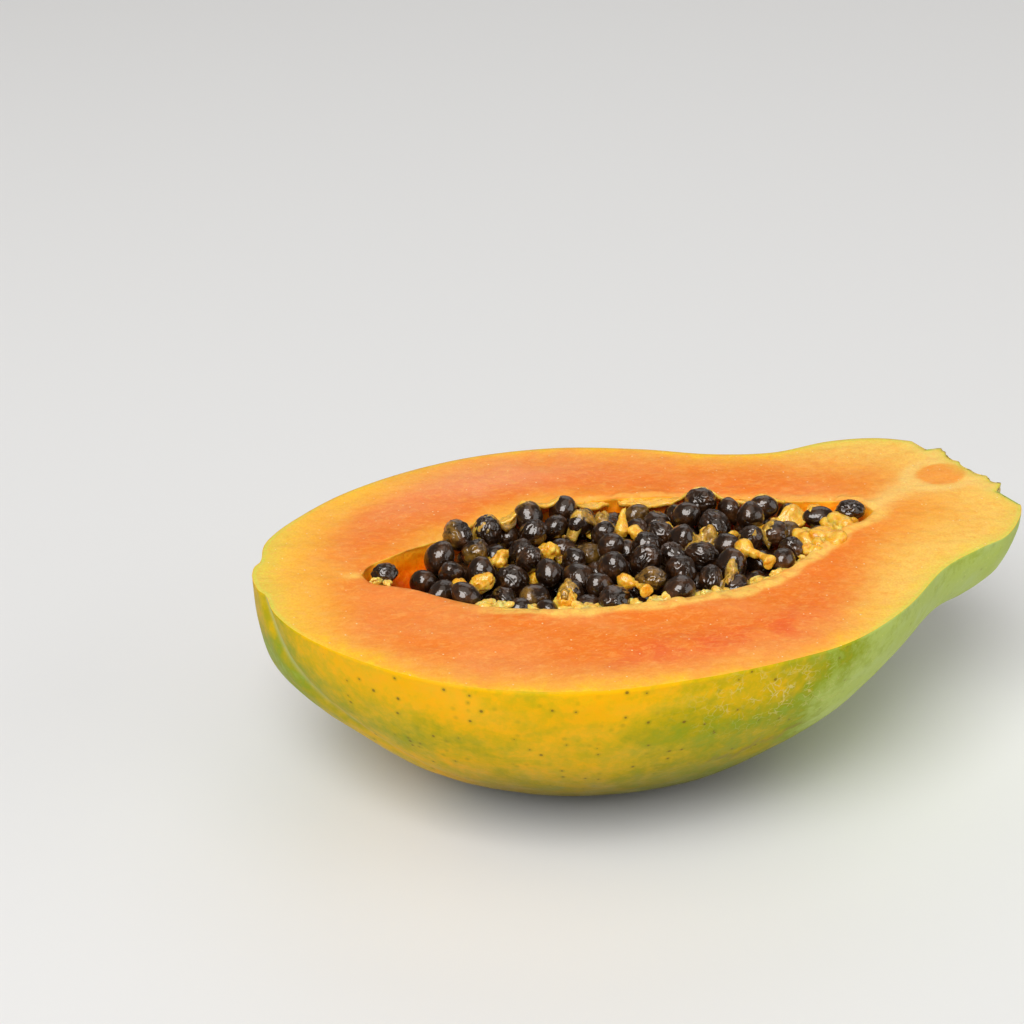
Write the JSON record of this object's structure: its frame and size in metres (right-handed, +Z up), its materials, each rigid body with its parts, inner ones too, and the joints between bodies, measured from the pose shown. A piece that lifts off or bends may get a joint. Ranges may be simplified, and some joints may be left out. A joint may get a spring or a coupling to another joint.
{
  "type": "papaya half",
  "caption": "Ripe papaya cut in half lengthwise, lying skin side down with its cut face up and dark seeds loose in the cavity.",
  "frame": {"origin": "middle of the small flat spot that the half rests on", "axes": "+X from the blossom end to the stem end, +Y across the fruit towards the side that the neck bends to, +Z up, square to the cut face"},
  "size_m": [0.1612, 0.0996, 0.0511],
  "materials": {
    "flesh": "moist salmon-orange flesh under a thin waxy skin, mottled yellow and green",
    "seed_coat": "wet, glossy near-black seed in a clear brownish coat",
    "ovule_skin": "moist golden yellow, lumpy"
  },
  "bodies": {
    "root": {"fruit_half": "flesh", "seed_01": "seed_coat", "seed_02": "seed_coat", "seed_03": "seed_coat", "seed_04": "seed_coat", "seed_05": "seed_coat", "seed_06": "seed_coat", "seed_07": "seed_coat", "seed_08": "seed_coat", "seed_09": "seed_coat", "seed_10": "seed_coat", "seed_11": "seed_coat", "seed_12": "seed_coat", "seed_13": "seed_coat", "seed_14": "seed_coat", "seed_15": "seed_coat", "seed_16": "seed_coat", "seed_17": "seed_coat", "seed_18": "seed_coat", "seed_19": "seed_coat", "seed_20": "seed_coat", "seed_21": "seed_coat", "seed_22": "seed_coat", "seed_23": "seed_coat", "seed_24": "seed_coat", "seed_25": "seed_coat", "seed_26": "seed_coat", "seed_27": "seed_coat", "seed_28": "seed_coat", "seed_29": "seed_coat", "seed_30": "seed_coat", "seed_31": "seed_coat", "seed_32": "seed_coat", "seed_33": "seed_coat", "seed_34": "seed_coat", "seed_35": "seed_coat", "seed_36": "seed_coat", "seed_37": "seed_coat", "seed_38": "seed_coat", "seed_39": "seed_coat", "seed_40": "seed_coat", "seed_41": "seed_coat", "seed_42": "seed_coat", "seed_43": "seed_coat", "seed_44": "seed_coat", "seed_45": "seed_coat", "seed_46": "seed_coat", "seed_47": "seed_coat", "seed_48": "seed_coat", "seed_49": "seed_coat", "seed_50": "seed_coat", "seed_51": "seed_coat", "ovule_1": "ovule_skin", "ovule_2": "ovule_skin", "ovule_3": "ovule_skin", "ovule_4": "ovule_skin", "ovule_5": "ovule_skin", "ovule_6": "ovule_skin", "ovule_7": "ovule_skin", "ovule_8": "ovule_skin"}
  },
  "joints": []
}
